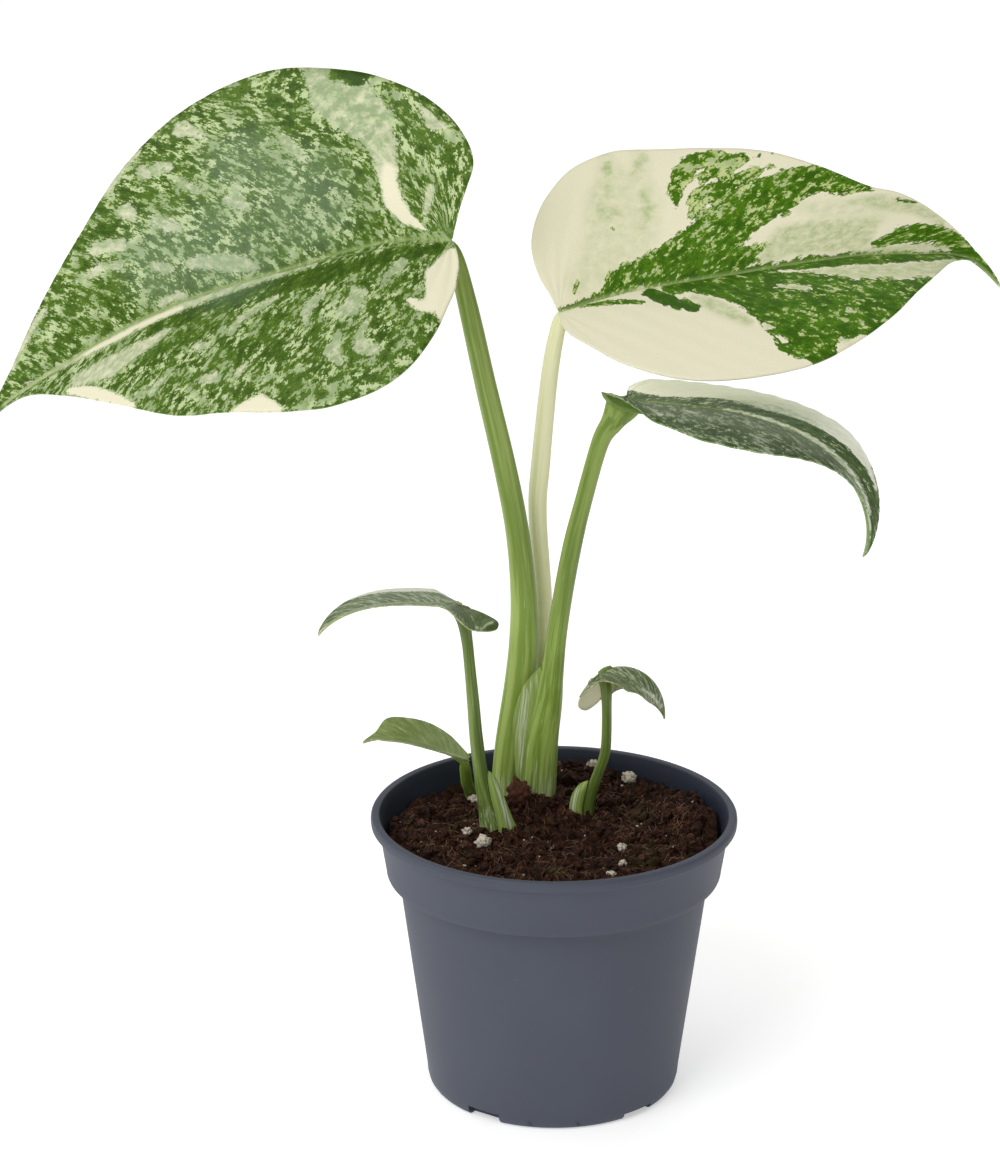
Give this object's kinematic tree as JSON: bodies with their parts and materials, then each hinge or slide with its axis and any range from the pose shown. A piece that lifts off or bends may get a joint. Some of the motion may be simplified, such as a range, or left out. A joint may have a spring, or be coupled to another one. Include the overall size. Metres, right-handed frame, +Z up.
{
  "type": "potted creme brulee monstera",
  "caption": "Young climbing aroid house plant with cream and green marbled leaves on upright stalks, in a round plastic nursery pot filled with potting soil.",
  "frame": {"origin": "centre of the pot's flat underside", "axes": "+Z up along the pot's axis, -Y towards the front of the plant, +X to its right"},
  "size_m": [0.3259, 0.12, 0.3335],
  "materials": {
    "pot_plastic": "matte moulded, blue grey",
    "potting_soil": "fibrous moist peat",
    "marbled_leaf": "satin, cream and green marbled",
    "young_leaf": "satin, grey green",
    "green_stalk": "satin, green with pale lengthwise streaks",
    "cream_stalk": "satin, cream and pale green",
    "dry_husk": "dry, rough, red brown",
    "perlite": "porous, white"
  },
  "bodies": {
    "root": {"pot": "pot_plastic", "soil": "potting_soil", "left_leaf": "marbled_leaf", "right_leaf": "marbled_leaf", "lower_leaf": "marbled_leaf", "left_shoot_leaf": "young_leaf", "low_shoot_leaf": "young_leaf", "right_shoot_leaf": "young_leaf", "left_leaf_stalk": "green_stalk", "lower_leaf_stalk": "green_stalk", "right_leaf_stalk": "cream_stalk", "left_shoot_stalk": "green_stalk", "low_shoot_stalk": "green_stalk", "right_shoot_stalk": "green_stalk", "husk": "dry_husk", "perlite_1": "perlite", "perlite_2": "perlite", "perlite_3": "perlite", "perlite_4": "perlite", "perlite_5": "perlite", "perlite_6": "perlite", "perlite_7": "perlite", "perlite_8": "perlite"}
  },
  "joints": []
}
